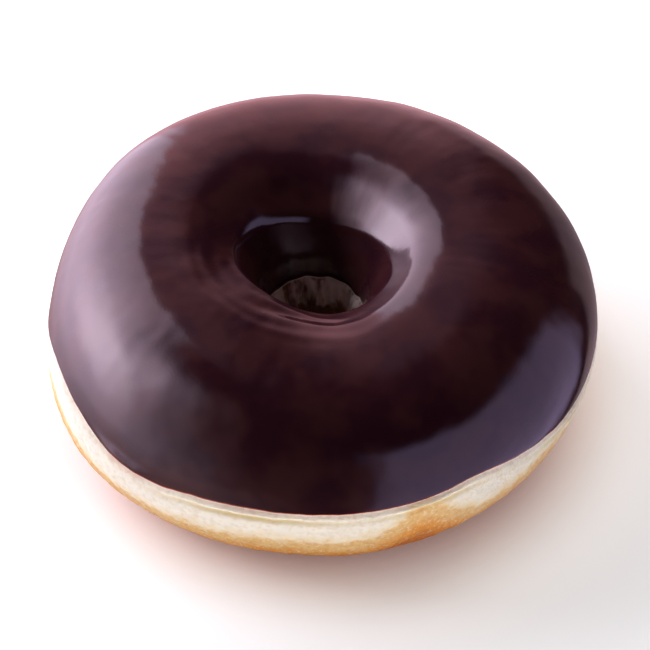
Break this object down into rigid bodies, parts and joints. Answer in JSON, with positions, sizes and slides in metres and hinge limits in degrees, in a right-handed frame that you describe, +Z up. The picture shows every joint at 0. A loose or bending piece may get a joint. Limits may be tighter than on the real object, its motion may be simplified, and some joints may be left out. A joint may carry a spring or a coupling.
{
  "type": "ring doughnut",
  "caption": "Yeast-raised ring doughnut with a smooth chocolate glaze over its top and a pale band round its side, resting flat.",
  "frame": {"origin": "on the surface that the doughnut rests on, under the middle of its outline", "axes": "+Z up, through the hole; -Y towards the front, the side whose dough band shows; +X to the right of someone who looks at the front"},
  "size_m": [0.089, 0.0894, 0.0377],
  "materials": {
    "fried_dough": "fried yeast dough: golden brown and finely blistered below, a pale cream soft band round the waist",
    "chocolate_glaze": "set dark chocolate glaze, smooth with a soft gloss and a slight maroon tint"
  },
  "bodies": {
    "root": {"dough_ring": "fried_dough", "chocolate_glaze": "chocolate_glaze"}
  },
  "joints": []
}
